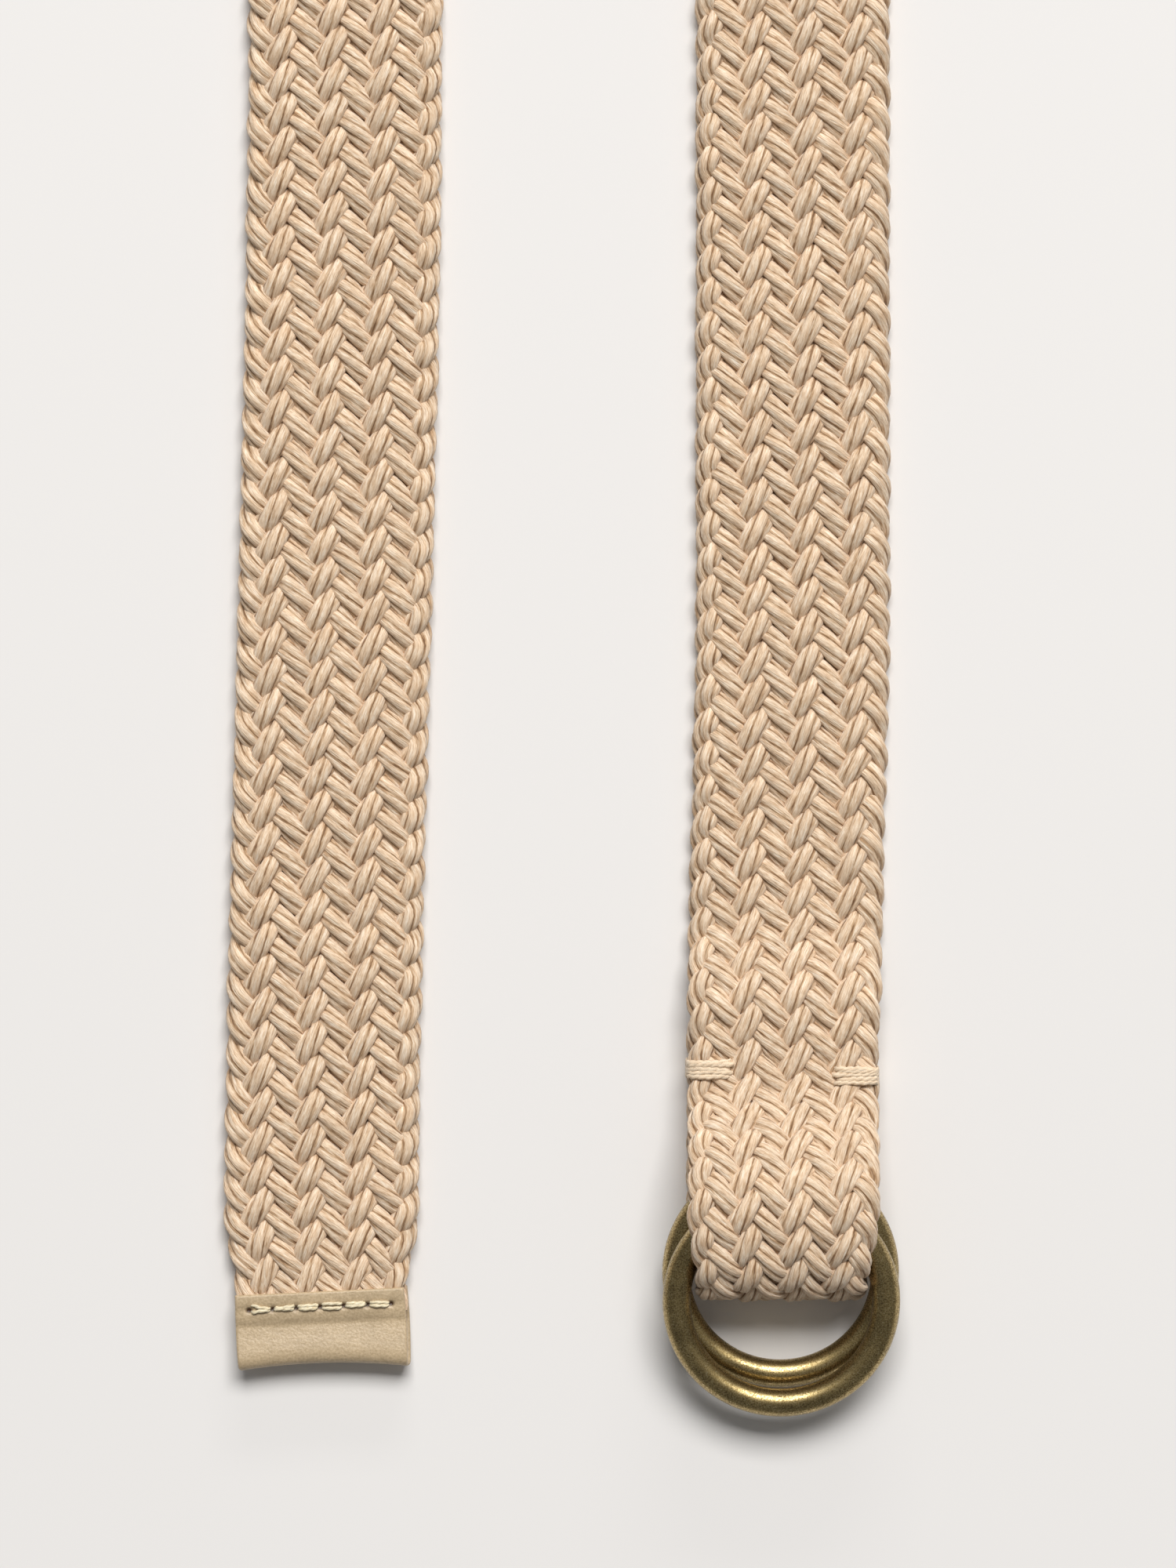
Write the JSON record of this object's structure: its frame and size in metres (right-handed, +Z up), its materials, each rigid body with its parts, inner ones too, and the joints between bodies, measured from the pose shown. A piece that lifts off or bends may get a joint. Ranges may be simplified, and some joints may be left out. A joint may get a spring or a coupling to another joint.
{
  "type": "braided belt",
  "caption": "Braided cotton cord belt with a double ring buckle and a stitched leather tip, laid down folded in half.",
  "frame": {"origin": "on the surface the belt lies on, under the middle of its bounding box", "axes": "+Y along the belt from its two ends towards the turn, +Z up, +X from the tail leg to the buckle leg"},
  "size_m": [0.1206, 0.5333, 0.0354],
  "materials": {
    "braid": "matt cotton cord, flat braid",
    "ring_brass": "aged brass with a brown patina, satin",
    "tip_leather": "fine grained, semi matt",
    "sewing_thread": "glossy twisted thread"
  },
  "bodies": {
    "belt": {"strap": "braid", "strap_loop": "braid", "bar_tack_left": "sewing_thread", "bar_tack_right": "sewing_thread", "tip": "tip_leather", "tip_stitching": "sewing_thread"},
    "back_ring": {"ring_back": "ring_brass"},
    "front_ring": {"ring_front": "ring_brass"}
  },
  "joints": [
    {"name": "buckle_lift", "type": "hinge", "parent": "belt", "child": "back_ring", "pos_m": [0.0393, -0.2156, 0.009], "axis": [-1, 0, 0], "range_deg": [0, 75], "deforming": ["strap_loop"]},
    {"name": "front_ring_open", "type": "hinge", "parent": "back_ring", "child": "front_ring", "pos_m": [0.0393, -0.2316, 0.0126], "axis": [-1, 0, 0], "range_deg": [0, 45], "deforming": ["strap_loop"]}
  ]
}
